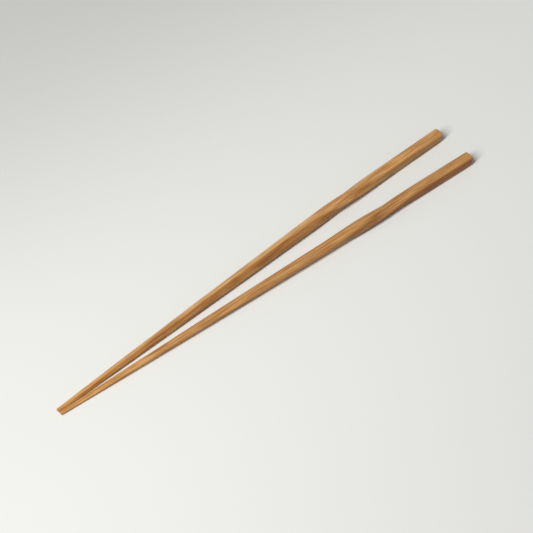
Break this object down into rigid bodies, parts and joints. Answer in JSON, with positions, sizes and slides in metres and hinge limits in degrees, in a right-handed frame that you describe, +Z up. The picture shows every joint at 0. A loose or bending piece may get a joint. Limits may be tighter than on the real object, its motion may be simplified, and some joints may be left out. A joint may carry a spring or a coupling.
{
  "type": "pair of chopsticks",
  "caption": "Slender square wooden chopsticks with a twist below the handle, lying tips together, for picking up food.",
  "frame": {"origin": "on the table, under the middle of the pair as it lies, tips together", "axes": "+X from the handles to the tips along the middle line between the sticks, +Y to the left of that, +Z up"},
  "size_m": [0.2398, 0.026, 0.0066],
  "materials": {
    "left_wood": "honey brown bamboo with fine straight fibres along the stick, planed, satin, no lacquer",
    "right_wood": "honey brown bamboo, a little lighter than its partner, fine straight fibres, planed, satin"
  },
  "bodies": {
    "root": {"left_chopstick": "left_wood", "right_chopstick": "right_wood"}
  },
  "joints": []
}
